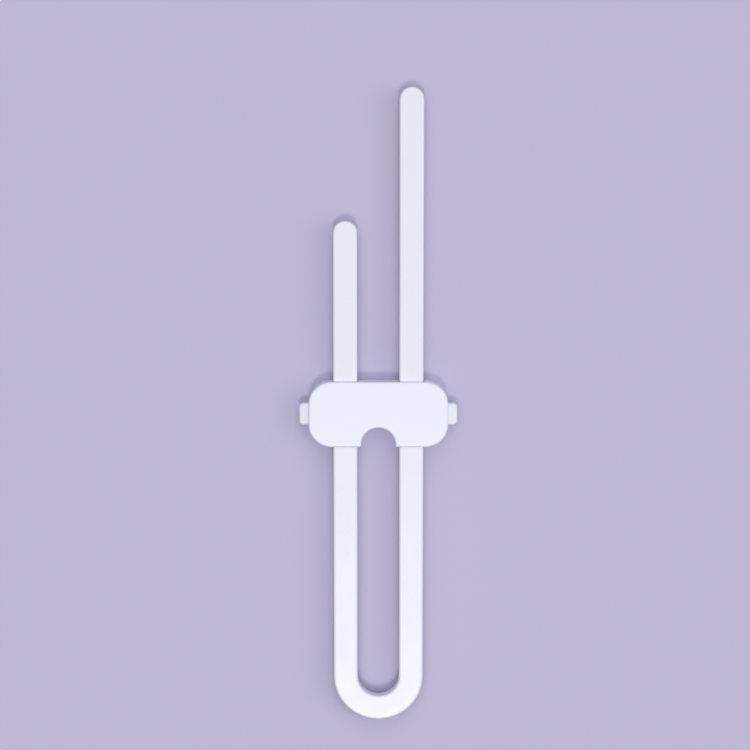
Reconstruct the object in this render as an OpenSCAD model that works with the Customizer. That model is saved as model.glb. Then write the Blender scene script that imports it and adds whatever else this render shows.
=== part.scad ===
// Cabinet safety lock: a U-shaped bar, and a catch that slides along its two arms.
// It lies on the catch's back. +Z is the front, +Y runs from the bend to the tip of the long arm,
// and the origin is under the middle of the whole lock. The long arm is on the +X side.

/* [Bar] */
// Length of the bar, from the bend to the tip of the long arm
bar_len = 290; // [260:1:330]
// Length of the bar, from the bend to the tip of the short arm
short_len = 230.2; // [200:0.1:240]
// Width of each arm, seen from the front
arm_w = 11; // [10.6:0.1:11.6]
// Thickness of each arm, from back to front
arm_t = 6; // [5.6:0.1:7]
// Clear gap between the two arms
arm_gap = 19; // [18.8:0.1:20]
// Rounding of the arms' front edges
arm_front_fillet = 1; // [0.4:0.1:1.2]
// Rounding of the arms' back edges
arm_back_fillet = 0.5; // [0.2:0.1:0.8]
// Width of the channel in the back of the arms
channel_w = 7; // [6.6:0.1:7.4]
// Depth of the channel in the back of the arms
channel_d = 4; // [3.6:0.1:4.6]
// Thickness of the walls that end the channel and stiffen the bend
stop_t = 1.5; // [1:0.1:2.5]
// Number of stiffening ribs across the channel in the bend
bend_ribs = 5; // [3:1:7]

/* [Rack] */
// Distance from one tooth to the next
tooth_pitch = 2.5; // [2.3:0.1:2.9]
// Height of a tooth
tooth_h = 1.2; // [0.9:0.1:1.3]
// Flat at the crest of a tooth
tooth_crest = 0.3; // [0.2:0.05:0.4]
// Flat at the root between two teeth
tooth_root = 0.5; // [0.4:0.05:0.7]
// Plain stretch of channel between a stop and the nearest tooth
rack_lead = 0.75; // [0.5:0.05:1.5]
// Distance from the centre of the bend to the lower stop
stop_from_bend = 12.5; // [11:0.5:16]
// Least distance from the upper stop to the centre of the long arm's round tip
stop_from_tip = 17; // [14:0.5:24]
// Teeth that the catch has passed when it lies where it rests, counted from the lower stop
rest_teeth = 42; // [30:1:50]

/* [Catch] */
// Free width in each end of the catch, between the guide rib and the side wall
end_room = 8.15; // [7:0.05:10]
// Height of the catch, along the arms
catch_h = 29.8; // [29:0.1:32]
// Radius of the catch's corners
corner_r = 10.4; // [9:0.1:11]
// Rounding of the front edge
front_fillet = 1; // [0.5:0.1:1.2]
// Rounding of the back edge
back_fillet = 0.6; // [0.3:0.1:0.8]
// Thickness of the front wall
front_wall = 1.4; // [1.3:0.1:2]
// Thickness of the back wall
back_wall = 1.4; // [1.2:0.1:2]
// Thickness of the side walls
side_wall = 1.5; // [1.3:0.1:1.8]
// Radius of the arch in the catch's lower edge
arch_r = 7.8; // [7.4:0.1:8]
// Depth of the arch from the lower edge
arch_depth = 8.8; // [8.4:0.1:9.2]
// Rounding at the mouth of the arch
mouth_fillet = 1; // [0.5:0.1:1]
// Thickness of the ribs that guide the arms
guide_t = 1.3; // [1:0.1:1.6]
// Height of the locating lip on the back shell
lip_h = 1; // [0.6:0.1:1.4]
// Thickness of the locating lip
lip_t = 0.7; // [0.5:0.1:0.8]

/* [Buttons] */
// Height of a button, along the arms
button_h = 10; // [9:0.1:10.6]
// Thickness of a button, from back to front
button_t = 6; // [5:0.1:6.4]
// How far a button stands out of the catch
button_out = 4.3; // [3.8:0.1:5.5]
// How far a button can be pressed in
button_travel = 2.5; // [2:0.1:2.6]
// Corner radius of a button, seen from the front
button_corner_r = 2; // [1:0.1:2.6]
// Rounding of a button's front and back edges
button_edge_r = 1.2; // [0.6:0.1:1.8]
// How far the flange that keeps the button in reaches past its top and bottom
flange_reach = 0.9; // [0.6:0.1:1]
// Thickness of the flange
flange_t = 1.5; // [1:0.1:1.8]
// Thickness of the plate that passes behind the arm
plate_t = 1; // [0.9:0.1:1.4]
// Width of that plate, along the arms
plate_w = 8; // [7.6:0.1:8.4]
// Thickness of the upright that the spring pushes on
seat_t = 1.2; // [1:0.1:1.4]
// Height of the upright above the plate
seat_h = 5.2; // [4.8:0.1:5.6]
// Number of teeth on a pawl
pawl_teeth = 3; // [2:1:3]

/* [Springs] */
// Outer diameter of a spring
spring_d = 4.4; // [4:0.1:4.6]
// Diameter of the spring's wire
wire_d = 0.45; // [0.35:0.05:0.5]
// Number of curls in a spring
curls = 4; // [3:1:5]
// Thickness of the rib between the two springs
anvil_t = 1.6; // [1.2:0.1:1.8]
// How far the cradle under a spring reaches from that rib
cradle_reach = 2.2; // [1.5:0.1:2.3]
// Length of the peg that holds a spring on its seat
peg_len = 1.2; // [0.8:0.1:1.4]

/* [Screws] */
// Diameter of a screw's thread
screw_d = 2.2; // [2:0.1:2.4]
// Diameter of a screw's head
head_d = 4; // [3.8:0.1:4.2]
// Height of a screw's head
head_h = 1.3; // [1.1:0.1:1.5]
// Length of a screw under its head
screw_len = 6.6; // [6:0.1:6.8]
// Depth of the recess that a head sits in
recess_d = 1.7; // [1.6:0.1:2]
// Wall of a screw boss round its hole
boss_wall = 1.6; // [1.3:0.1:1.7]

/* [Clearances] */
// Gap between pieces that slide past each other
run_gap = 0.25; // [0.2:0.05:0.3]
// Gap between the teeth of a pawl and those of the rack
mesh_gap = 0.3; // [0.25:0.05:0.35]
// Gap between a button's flange and the wall that stops it
flange_gap = 0.35; // [0.3:0.05:0.4]
// Gap round the locating lip
lip_gap = 0.1; // [0.05:0.05:0.15]
// Gap round a spring's ends, its peg and its cradle
spring_gap = 0.1; // [0.05:0.05:0.2]
// Gap round a screw in its hole
screw_gap = 0.05; // [0.05:0.05:0.1]
// Gap round a screw's head in its recess
head_gap = 0.2; // [0.1:0.05:0.3]

/* [Hidden] */
// True round surfaces
$fn = 96;
// Overrun of a cut past the face that it opens
over = 0.5;
// Overlap of two solids that are joined into one
merge = 0.05;

// Places across the bar
arm_x = (arm_gap + arm_w) / 2;
arm_out_x = arm_x + arm_w / 2;
channel_in_x = arm_x - channel_w / 2;
channel_out_x = arm_x + channel_w / 2;

// Places along the bar
bend_y = arm_out_x - bar_len / 2;
long_tip_y = bar_len / 2 - arm_w / 2;
short_tip_y = short_len - bar_len / 2 - arm_w / 2;
lower_stop_y = bend_y + stop_from_bend;
rack_y = lower_stop_y + rack_lead;
pawl_len = pawl_teeth * tooth_pitch;
catch_y = rack_y + rest_teeth * tooth_pitch + pawl_len / 2;
long_teeth = floor((long_tip_y - stop_from_tip - rack_lead - rack_y) / tooth_pitch);
short_teeth = floor((short_tip_y - rack_y) / tooth_pitch);
upper_stop_y = rack_y + long_teeth * tooth_pitch + rack_lead;

// Levels from the catch's back face
plate_z = back_wall + run_gap;
arm_z = plate_z + plate_t + run_gap;
arm_top_z = arm_z + arm_t;
cavity_top_z = arm_top_z + run_gap;
catch_t = cavity_top_z + front_wall;
parting_z = catch_t / 2;
slot_z = arm_z - run_gap;

// Places in the catch, from its centre
slot_in_x = arm_gap / 2 - run_gap;
slot_out_x = arm_out_x + run_gap;
catch_w = 2 * (slot_out_x + guide_t + end_room + side_wall);
arch_y = arch_depth - arch_r - catch_h / 2;
arch_wall = slot_in_x - arch_r;
inner_h = catch_h - 2 * side_wall;
// Where an inner guide rib meets the arch's wall
rib_foot_y = arch_y + sqrt(pow(arch_r + arch_wall + lip_gap, 2) - pow(slot_in_x - guide_t, 2));

// Teeth of a pawl, which lie one mesh gap inside those of the rack
tooth_slope = tooth_pitch - tooth_crest - tooth_root;
rack_crest_x = channel_out_x - tooth_h;
pawl_root_x = rack_crest_x - mesh_gap;
pawl_crest_x = channel_out_x - mesh_gap;
slope_gap = mesh_gap * sqrt(tooth_h * tooth_h + tooth_slope * tooth_slope) / tooth_slope;
pawl_in_x = channel_in_x + mesh_gap + button_travel;
pawl_h = channel_d - mesh_gap;

// Places in a button, from the catch's centre
flange_x = catch_w / 2 - side_wall - flange_gap - flange_t;
button_z = parting_z - button_t / 2;
seat_x = slot_in_x - guide_t - run_gap - seat_t;
spring_r = (spring_d - wire_d) / 2;
// A curl's tube runs straight from ring to ring, so the room inside it is a little less than its inner diameter
RINGS_PER_CURL = 8;
TUBE_SIDES = 6;
peg_r = spring_r * cos(180 / RINGS_PER_CURL) - wire_d / 2 - spring_gap;

// Screws stand in the four corners, one running gap outside the guide ribs, with a side wall round each recess
boss_r = screw_d / 2 + screw_gap + boss_wall;
recess_r = head_d / 2 + head_gap;
screw_x = slot_out_x + guide_t + run_gap + boss_r;
screw_corner_x = screw_x - catch_w / 2 + corner_r;
screw_y = catch_h / 2 - corner_r + sqrt(pow(corner_r - side_wall - recess_r, 2) - pow(screw_corner_x, 2));
head_z = recess_d - head_h;
pilot_len = screw_len + recess_d - parting_z + screw_gap;

white = "ghostwhite";

// Shapes used by several pieces

// A rectangle with round corners, centred
module rounded_rect(w, h, r) {
    square([w - 2 * r, h], center = true);
    square([w, h - 2 * r], center = true);
    for (sx = [-1, 1], sy = [-1, 1])
        translate([sx * (w / 2 - r), sy * (h / 2 - r)])
            circle(r);
}

// A section that stands on the X axis, with round lower and upper corners
module soft_section(w, t, low_r, high_r) {
    translate([-w / 2, low_r])
        square([w, t - low_r - high_r]);
    translate([low_r - w / 2, 0])
        square([w - 2 * low_r, t / 2]);
    translate([high_r - w / 2, t / 2])
        square([w - 2 * high_r, t / 2]);
    for (s = [-1, 1]) {
        translate([s * (w / 2 - low_r), low_r])
            circle(low_r);
        translate([s * (w / 2 - high_r), t - high_r])
            circle(high_r);
    }
}

// The half of a section on one side of its middle, to be turned into a round end
module half_section(w, t, low_r, high_r) {
    intersection() {
        soft_section(w, t, low_r, high_r);
        square([w, t]);
    }
}

// A block with round corners, whose upper edge is rounded too
module soft_block(w, h, t, r, edge_r) {
    rotate([90, 0, 0])
        linear_extrude(h - 2 * r, center = true)
            soft_section(w, t, 0, edge_r);
    rotate([90, 0, 90])
        linear_extrude(w - 2 * r, center = true)
            soft_section(h, t, 0, edge_r);
    for (sx = [-1, 1], sy = [-1, 1])
        translate([sx * (w / 2 - r), sy * (h / 2 - r), 0])
            rotate_extrude()
                half_section(2 * r, t, 0, edge_r);
}

// Bar

module arm_section() {
    soft_section(arm_w, arm_t, arm_back_fillet, arm_front_fillet);
}

// One arm with its round tip, from the bend's centre up
module arm(x, tip_y) {
    translate([x, tip_y, arm_z]) {
        rotate([90, 0, 0])
            linear_extrude(tip_y - bend_y)
                arm_section();
        rotate_extrude(angle = 180)
            half_section(arm_w, arm_t, arm_back_fillet, arm_front_fillet);
    }
}

module bend() {
    translate([0, bend_y, arm_z])
        rotate([0, 0, 180])
            rotate_extrude(angle = 180)
                translate([arm_x, 0])
                    arm_section();
}

// Channel of one arm, whose outer wall carries the teeth: steep towards the bend, sloped towards the tip
function tooth_points(y) = [
    [channel_out_x, y],
    [rack_crest_x, y],
    [rack_crest_x, y + tooth_crest],
    [channel_out_x, y + tooth_crest + tooth_slope]
];

module rack_channel(teeth, end_y) {
    translate([0, 0, arm_z - over])
        linear_extrude(channel_d + over)
            polygon(concat(
                [[channel_in_x, lower_stop_y], [channel_out_x, lower_stop_y]],
                [for (i = [0:teeth - 1]) each tooth_points(rack_y + i * tooth_pitch)],
                [[channel_out_x, end_y], [channel_in_x, end_y]]));
}

// Hollow back of the bend, and of the arms up to the lower stop, less the stiffening ribs
module bend_pockets() {
    pocket_len = stop_from_bend - stop_t;
    translate([0, bend_y, arm_z - over])
        difference() {
            union() {
                rotate([0, 0, 180])
                    rotate_extrude(angle = 180)
                        translate([channel_in_x, 0])
                            square([channel_w, channel_d + over]);
                for (x = [channel_in_x, -channel_out_x])
                    translate([x, -merge, 0])
                        cube([channel_w, pocket_len + merge, channel_d + over]);
            }
            for (i = [1:bend_ribs])
                rotate([0, 0, -180 * i / (bend_ribs + 1)])
                    translate([channel_in_x - merge, -stop_t / 2, -over])
                        cube([channel_w + 2 * merge, stop_t, channel_d + 3 * over]);
        }
}

// Hollow back of the long arm's tip, above the upper stop
module tip_pocket() {
    foot_y = upper_stop_y + stop_t;
    translate([0, 0, arm_z - over])
        linear_extrude(channel_d + over) {
            translate([channel_in_x, foot_y])
                square([channel_w, long_tip_y - foot_y]);
            translate([arm_x, long_tip_y])
                circle(channel_w / 2);
        }
}

module bar() {
    color(white)
        difference() {
            union() {
                arm(arm_x, long_tip_y);
                arm(-arm_x, short_tip_y);
                bend();
            }
            rack_channel(long_teeth, upper_stop_y);
            mirror([1, 0, 0])
                rack_channel(short_teeth, short_tip_y + arm_w);
            bend_pockets();
            tip_pocket();
        }
}

// Catch

// Outline of the arch, wider by grow
module arch_plan(grow) {
    translate([0, arch_y]) {
        circle(arch_r + grow);
        translate([-arch_r - grow, -catch_h])
            square([2 * (arch_r + grow), catch_h]);
    }
}

// Outline of the catch, each side moved in by inset
module catch_plan(inset) {
    difference() {
        rounded_rect(catch_w - 2 * inset, catch_h - 2 * inset, corner_r - inset);
        arch_plan(inset);
    }
}

// Outline of the hollow inside the walls, less a gap
module cavity_plan(gap) {
    difference() {
        rounded_rect(catch_w - 2 * (side_wall + gap), inner_h - 2 * gap, corner_r - side_wall - gap);
        arch_plan(arch_wall + gap);
    }
}

// Corners of the arch's mouth, which are taken off round
module mouth_corners() {
    for (s = [-1, 1])
        translate([s * (arch_r + mouth_fillet), mouth_fillet - catch_h / 2])
            difference() {
                translate([-s * mouth_fillet / 2, -mouth_fillet / 2 - over / 2])
                    square([mouth_fillet, mouth_fillet + over], center = true);
                circle(mouth_fillet);
            }
}

// Room above a rounded edge of radius edge_r, next to the arch's wall
module arch_spandrel(edge_r) {
    difference() {
        translate([arch_r - merge, -edge_r])
            square([edge_r + merge, edge_r + over]);
        translate([arch_r + edge_r, -edge_r])
            circle(edge_r);
    }
}

// The arch as a cut through a shell whose outer face is at z = face_z, with that edge rounded
module arch_cut(face_z, edge_r) {
    translate([0, 0, -over])
        linear_extrude(face_z + 2 * over) {
            arch_plan(0);
            mouth_corners();
        }
    translate([0, arch_y, face_z]) {
        rotate_extrude(angle = 180)
            arch_spandrel(edge_r);
        for (s = [0, 1])
            mirror([s, 0, 0])
                rotate([90, 0, 0])
                    linear_extrude(catch_h / 2)
                        arch_spandrel(edge_r);
    }
}

// Slots for the arms and windows for the buttons, through both shells
module catch_openings() {
    for (s = [-1, 1]) {
        translate([s * arm_x, 0, (slot_z + cavity_top_z) / 2])
            cube([arm_w + 2 * run_gap, catch_h + 2 * over, cavity_top_z - slot_z], center = true);
        translate([s * catch_w / 2, 0, parting_z])
            cube([2 * (side_wall + over), button_h + 2 * run_gap, button_t + 2 * run_gap], center = true);
    }
}

// Ribs on both sides of each arm
module guide_ribs() {
    for (s = [-1, 1], x = [slot_in_x - guide_t / 2, slot_out_x + guide_t / 2])
        translate([s * x, 0])
            square([guide_t, catch_h], center = true);
}

// Below the parting line the inner ribs stop short of the arch's wall
module rib_room() {
    room_h = catch_h / 2 - rib_foot_y;
    translate([0, catch_h / 2 - room_h / 2])
        square([2 * slot_in_x + merge, room_h], center = true);
    for (s = [-1, 1])
        translate([s * (slot_out_x + guide_t), 0])
            square([2 * guide_t + merge, catch_h], center = true);
}

// The rib between the springs
module anvil() {
    translate([-anvil_t / 2, arch_y + arch_r])
        square([anvil_t, catch_h / 2 - arch_y - arch_r - side_wall + merge]);
}

module screw_places() {
    for (sx = [-1, 1], sy = [-1, 1])
        translate([sx * screw_x, sy * screw_y, 0])
            children();
}

module front_cover() {
    color(white)
        translate([0, catch_y, 0])
            difference() {
                union() {
                    difference() {
                        translate([0, 0, parting_z])
                            soft_block(catch_w, catch_h, catch_t - parting_z, corner_r, front_fillet);
                        translate([0, 0, parting_z - over])
                            linear_extrude(cavity_top_z - parting_z + over)
                                cavity_plan(0);
                    }
                    translate([0, 0, arm_z])
                        linear_extrude(cavity_top_z - arm_z + merge)
                            intersection() {
                                guide_ribs();
                                cavity_plan(lip_gap);
                                rib_room();
                            }
                    translate([0, 0, parting_z])
                        linear_extrude(cavity_top_z - parting_z + merge)
                            intersection() {
                                union() {
                                    anvil();
                                    screw_places()
                                        circle(boss_r);
                                    guide_ribs();
                                }
                                catch_plan(side_wall / 2);
                            }
                }
                translate([0, 0, parting_z - over])
                    linear_extrude(lip_h + lip_gap + over)
                        difference() {
                            catch_plan(side_wall - lip_t - lip_gap);
                            cavity_plan(lip_gap);
                        }
                arch_cut(catch_t, front_fillet);
                catch_openings();
                screw_places()
                    translate([0, 0, parting_z - over])
                        cylinder(h = pilot_len + over, r = screw_d / 2 + screw_gap);
            }
}

// Pads under each arm, on both sides of the button's plate
module arm_pads() {
    pad_h = (inner_h - plate_w) / 2 - run_gap;
    for (sx = [-1, 1], sy = [-1, 1])
        translate([sx * arm_x, sy * (inner_h / 2 - pad_h / 2)])
            square([arm_w + 2 * run_gap, pad_h], center = true);
}

// Cradle under each spring, next to the rib between them
module spring_cradles() {
    cradle_w = spring_d + 2 * (spring_gap + wire_d);
    cradle_len = anvil_t + 2 * cradle_reach;
    difference() {
        translate([-cradle_len / 2, -cradle_w / 2, back_wall - merge])
            cube([cradle_len, cradle_w, parting_z - spring_r - back_wall + merge]);
        translate([0, 0, parting_z])
            rotate([0, 90, 0])
                cylinder(h = cradle_len + 2 * over, r = spring_d / 2 + spring_gap, center = true);
    }
}

module back_cover() {
    color(white)
        translate([0, catch_y, 0])
            difference() {
                union() {
                    difference() {
                        translate([0, 0, parting_z])
                            mirror([0, 0, 1])
                                soft_block(catch_w, catch_h, parting_z, corner_r, back_fillet);
                        translate([0, 0, back_wall])
                            linear_extrude(parting_z)
                                cavity_plan(0);
                    }
                    translate([0, 0, parting_z - merge])
                        linear_extrude(lip_h + merge)
                            difference() {
                                catch_plan(side_wall - lip_t);
                                cavity_plan(0);
                            }
                    translate([0, 0, back_wall - merge])
                        linear_extrude(parting_z - back_wall + merge)
                            intersection() {
                                union() {
                                    anvil();
                                    screw_places()
                                        circle(boss_r);
                                }
                                catch_plan(side_wall / 2);
                            }
                    translate([0, 0, back_wall - merge])
                        linear_extrude(slot_z - back_wall + merge)
                            arm_pads();
                    spring_cradles();
                }
                translate([0, 0, catch_t])
                    mirror([0, 0, 1])
                        arch_cut(catch_t, back_fillet);
                catch_openings();
                screw_places() {
                    translate([0, 0, -over])
                        cylinder(h = parting_z + lip_h + 2 * over, r = screw_d / 2 + screw_gap);
                    translate([0, 0, -over])
                        cylinder(h = recess_d + over, r = recess_r);
                }
            }
}

// Buttons

// The pad that is pressed, rounded seen from the front and from the end
module button_pad() {
    pad_len = catch_w / 2 + button_out - flange_x;
    pad_x = flange_x + pad_len / 2;
    intersection() {
        translate([pad_x, 0, button_z])
            linear_extrude(button_t) {
                rounded_rect(pad_len, button_h, button_corner_r);
                translate([-pad_len / 4, 0])
                    square([pad_len / 2, button_h], center = true);
            }
        translate([pad_x, 0, parting_z])
            rotate([90, 0, 0])
                linear_extrude(button_h + 2 * over, center = true) {
                    rounded_rect(pad_len, button_t, button_edge_r);
                    translate([-pad_len / 4, 0])
                        square([pad_len / 2, button_t], center = true);
                }
    }
}

// The pawl that stands in the arm's channel, with its steep faces towards the long arm's tip
function pawl_points(y) = [
    [pawl_root_x, y + tooth_crest + (slope_gap - mesh_gap) * tooth_slope / tooth_h],
    [pawl_crest_x, y + tooth_crest + (slope_gap - mesh_gap + tooth_h) * tooth_slope / tooth_h],
    [pawl_crest_x, y + tooth_pitch - mesh_gap],
    [pawl_root_x, y + tooth_pitch - mesh_gap]
];

module pawl() {
    translate([0, 0, plate_z + plate_t - merge])
        linear_extrude(arm_z + pawl_h - plate_z - plate_t + merge)
            polygon(concat(
                [[pawl_in_x, -pawl_len / 2]],
                [[pawl_root_x, -pawl_len / 2]],
                [for (i = [0:pawl_teeth - 1]) each pawl_points(i * tooth_pitch - pawl_len / 2)],
                [[pawl_in_x, pawl_len / 2 - mesh_gap]]));
}

// A button for the +X side
module button() {
    flange_h = button_h + 2 * flange_reach;
    button_pad();
    translate([flange_x, -flange_h / 2, plate_z])
        cube([flange_t, flange_h, cavity_top_z - run_gap - plate_z]);
    translate([seat_x, -plate_w / 2, plate_z])
        cube([flange_x - seat_x + merge, plate_w, plate_t]);
    pawl();
    translate([seat_x, -spring_d / 2, plate_z])
        cube([seat_t, spring_d, plate_t + seat_h]);
    translate([seat_x + merge, 0, parting_z])
        rotate([0, -90, 0])
            cylinder(h = peg_len + merge, r = peg_r);
}

module right_button() {
    color(white)
        translate([0, catch_y, 0])
            button();
}

module left_button() {
    color(white)
        translate([0, catch_y, 0])
            mirror([1, 0, 0])
                button();
}

// Springs

// The tube follows a helix from the anvil to the seat, with half a wire's room at each end
spring_from_x = anvil_t / 2 + spring_gap + wire_d / 2;
spring_to_x = seat_x - spring_gap - wire_d / 2;
spring_rise = (spring_to_x - spring_from_x) / curls;

function helix_point(i) =
    let (a = 360 * i / RINGS_PER_CURL)
    [spring_from_x + spring_rise * i / RINGS_PER_CURL, spring_r * cos(a), spring_r * sin(a)];

// One ring of the tube: its first axis points away from the helix's axis, its second lies square to the wire
function ring_points(i) =
    let (a = 360 * i / RINGS_PER_CURL,
         pitch_angle = atan2(spring_rise, 2 * PI * spring_r),
         out = [0, cos(a), sin(a)],
         up = [cos(pitch_angle), sin(pitch_angle) * sin(a), -sin(pitch_angle) * cos(a)])
    [for (k = [0:TUBE_SIDES - 1])
        let (b = 360 * k / TUBE_SIDES)
        helix_point(i) + wire_d / 2 * (cos(b) * out + sin(b) * up)];

module spring() {
    rings = curls * RINGS_PER_CURL;
    points = [for (i = [0:rings]) each ring_points(i)];
    walls = [for (i = [0:rings - 1], k = [0:TUBE_SIDES - 1])
        let (a = i * TUBE_SIDES + k,
             b = i * TUBE_SIDES + (k + 1) % TUBE_SIDES)
        each [[a, a + TUBE_SIDES, b], [b, a + TUBE_SIDES, b + TUBE_SIDES]]];
    foot = [for (k = [1:TUBE_SIDES - 2]) [0, k, k + 1]];
    head = [for (k = [1:TUBE_SIDES - 2])
        [rings * TUBE_SIDES, rings * TUBE_SIDES + k + 1, rings * TUBE_SIDES + k]];
    polyhedron(points, concat(walls, foot, head));
}

// Least distance between two points of the tube that lie at least half a curl apart along it
spring_self_gap = min([for (i = [0:RINGS_PER_CURL], j = [RINGS_PER_CURL / 2:3 * RINGS_PER_CURL / 2])
    norm(helix_point(i) - helix_point(i + j)) - wire_d]);
echo(spring_self_gap = spring_self_gap);

module right_spring() {
    color("silver")
        translate([0, catch_y, parting_z])
            spring();
}

module left_spring() {
    color("silver")
        translate([0, catch_y, parting_z])
            rotate([0, 0, 180])
                spring();
}

// Screws

module cover_screws() {
    color("silver")
        translate([0, catch_y, 0])
            screw_places()
                difference() {
                    union() {
                        translate([0, 0, head_z])
                            cylinder(h = head_h, r = head_d / 2);
                        translate([0, 0, recess_d - merge])
                            cylinder(h = screw_len + merge, r = screw_d / 2);
                    }
                    for (a = [0, 90])
                        rotate([0, 0, a])
                            translate([0, 0, head_z])
                                cube([head_d * cross_len_share, head_d * cross_w_share, head_h], center = true);
                }
}

// Size of the cross in a screw's head
cross_len_share = 0.6;
cross_w_share = 0.16;

bar();
front_cover();
back_cover();
left_button();
right_button();
left_spring();
right_spring();
cover_screws();
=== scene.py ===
import bpy
import bmesh
import math
from mathutils import Matrix, Vector


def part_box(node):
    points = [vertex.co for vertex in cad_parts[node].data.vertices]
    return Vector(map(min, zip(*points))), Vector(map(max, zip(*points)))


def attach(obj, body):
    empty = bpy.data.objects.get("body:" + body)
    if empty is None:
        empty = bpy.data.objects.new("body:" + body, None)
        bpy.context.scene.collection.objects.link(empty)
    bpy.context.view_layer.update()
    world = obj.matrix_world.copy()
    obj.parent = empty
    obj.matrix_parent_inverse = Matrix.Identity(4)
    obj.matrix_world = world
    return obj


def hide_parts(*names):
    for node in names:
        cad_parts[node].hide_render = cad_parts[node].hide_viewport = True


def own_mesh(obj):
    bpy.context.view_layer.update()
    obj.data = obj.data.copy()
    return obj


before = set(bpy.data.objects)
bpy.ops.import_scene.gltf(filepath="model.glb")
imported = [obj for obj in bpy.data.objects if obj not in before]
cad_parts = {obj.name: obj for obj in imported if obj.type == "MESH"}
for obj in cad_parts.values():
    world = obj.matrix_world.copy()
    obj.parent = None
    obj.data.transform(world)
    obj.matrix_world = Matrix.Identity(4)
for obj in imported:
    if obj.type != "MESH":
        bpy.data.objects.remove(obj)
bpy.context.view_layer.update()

# Pieces are made in millimetres, and come to metres when they are settled in their place
MM = 0.001
# Overrun of a cut past the face that it opens
OVER = 0.5
# Overlap of two solids that are joined into one
MERGE = 0.2
# Points of an outline that lie nearer than this are one point
SAME_POINT = 1e-4
# Corners that are blunter than this aren't rounded
BLUNT_ANGLE = math.radians(150)
# Faces that meet at more than this angle keep a hard edge between them
HARD_ANGLE = math.radians(32)
# Steps of a large arc, of a small one, and of a round hole or boss
ARC_STEPS = 64
SMALL_ARC_STEPS = 24
CIRCLE_STEPS = 48
# Steps of a round edge, and of a rounded corner
EDGE_STEPS = 8
CORNER_STEPS = 4
# Steps of the rim round a blind cut, and round one that goes right through
POCKET_STEPS = 3
TUNNEL_STEPS = 4


# Sizes in millimetres, taken from the CAD parts in model.glb where they have them

def box_mm(node_name):
    low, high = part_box(node_name)
    return low / MM, high / MM


bar_low, bar_high = box_mm("bar")
front_low, front_high = box_mm("front_cover")
back_high = box_mm("back_cover")[1]
button_low, button_high = box_mm("right_button")
spring_low, spring_high = box_mm("right_spring")
screw_low, screw_high = box_mm("cover_screws")

# Gap between pieces that slide past each other
RUN_GAP = 0.25

# Bar: its two arms and the bend
SHORT_LEN = 230.2
ARM_W = 11.0
ARM_OUT_X = bar_high.x
ARM_X = ARM_OUT_X - ARM_W / 2
ARM_IN_X = ARM_OUT_X - ARM_W
BAR_Z = bar_low.z
BAR_TOP_Z = bar_high.z
BEND_Y = bar_low.y + ARM_OUT_X
LONG_TIP_Y = bar_high.y - ARM_W / 2
SHORT_TIP_Y = bar_low.y + SHORT_LEN - ARM_W / 2
BAR_FRONT_R = 1.0
BAR_BACK_R = 0.5

# Channel in the bar's back, with the stops that end it and the ribs that stiffen the bend
CHANNEL_W = 7.0
CHANNEL_D = 4.0
CHANNEL_IN_X = ARM_X - CHANNEL_W / 2
CHANNEL_OUT_X = ARM_X + CHANNEL_W / 2
CHANNEL_FLOOR_R = 0.2
STOP_T = 1.5
STOP_FROM_BEND = 12.5
BEND_RIBS = 5
BEND_STEPS = 10
POCKET_R = 0.4
# Rim round a cut in a back face
RIM_R = 0.15

# Rack in the channel: a plain lead, then teeth with one steep side and one sloped
TOOTH_PITCH = 2.5
TOOTH_H = 1.2
TOOTH_CREST = 0.3
TOOTH_SLOPE = 1.7
RACK_LEAD = 0.75
LONG_TEETH = 93
SHORT_TEETH = 76
LOWER_STOP_Y = BEND_Y + STOP_FROM_BEND
RACK_Y = LOWER_STOP_Y + RACK_LEAD
UPPER_STOP_Y = RACK_Y + LONG_TEETH * TOOTH_PITCH + RACK_LEAD

# Catch, from its own centre: its outside
CATCH_Y = (front_low.y + front_high.y) / 2
CATCH_W = front_high.x - front_low.x
CATCH_H = front_high.y - front_low.y
CATCH_T = front_high.z
PARTING_Z = CATCH_T / 2
CORNER_R = 10.4
FRONT_R = 0.95
BACK_R = 0.6
PARTING_BEVEL = 0.12
ARCH_R = 7.8
ARCH_DEPTH = 8.8
ARCH_Y = ARCH_DEPTH - ARCH_R - CATCH_H / 2
MOUTH_R = 1.0
MOUTH_STEPS = 16

# Catch: its walls, and the slots and windows through them
SIDE_WALL = 1.5
FRONT_WALL = 1.4
BACK_WALL = 1.4
ARCH_WALL = 1.45
INNER_W = CATCH_W - 2 * SIDE_WALL
INNER_H = CATCH_H - 2 * SIDE_WALL
INNER_R = 0.4
CAVITY_TOP_Z = CATCH_T - FRONT_WALL
SLOT_Z = BAR_Z - RUN_GAP
SLOT_IN_X = ARM_IN_X - RUN_GAP
SLOT_OUT_X = ARM_OUT_X + RUN_GAP
SLOT_R = 0.5
SLOT_RIM = 0.12
WINDOW_RIM = 0.25

# Catch: what stands inside it
GUIDE_T = 1.3
LIP_H = back_high.z - PARTING_Z
LIP_T = 0.7
LIP_GAP = 0.1
ANVIL_T = 1.6
CRADLE_REACH = 2.2

# Catch: the moulding's gate in its back, a dimple with a stub in it
GATE_Y = 6.0
GATE_R = 1.6
GATE_D = 0.3
GATE_STUB_R = 0.5
GATE_STUB_Z = GATE_D / 4
GATE_STUB_EDGE = 0.05
GATE_STUB_STEPS = 3

# Buttons, from the catch's centre: the pad, the flange behind it and the plate
BUTTON_OUT_X = button_high.x
BUTTON_H = 10.0
BUTTON_T = 6.0
BUTTON_CORNER_R = 2.0
BUTTON_EDGE_R = 1.0
FLANGE_X = 28.35
FLANGE_T = 1.5
FLANGE_H = button_high.y - button_low.y
PLATE_Z = button_low.z
PLATE_T = 1.0
PLATE_TOP_Z = PLATE_Z + PLATE_T
PLATE_W = 8.0
MOULD_EDGE = 0.12

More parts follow.
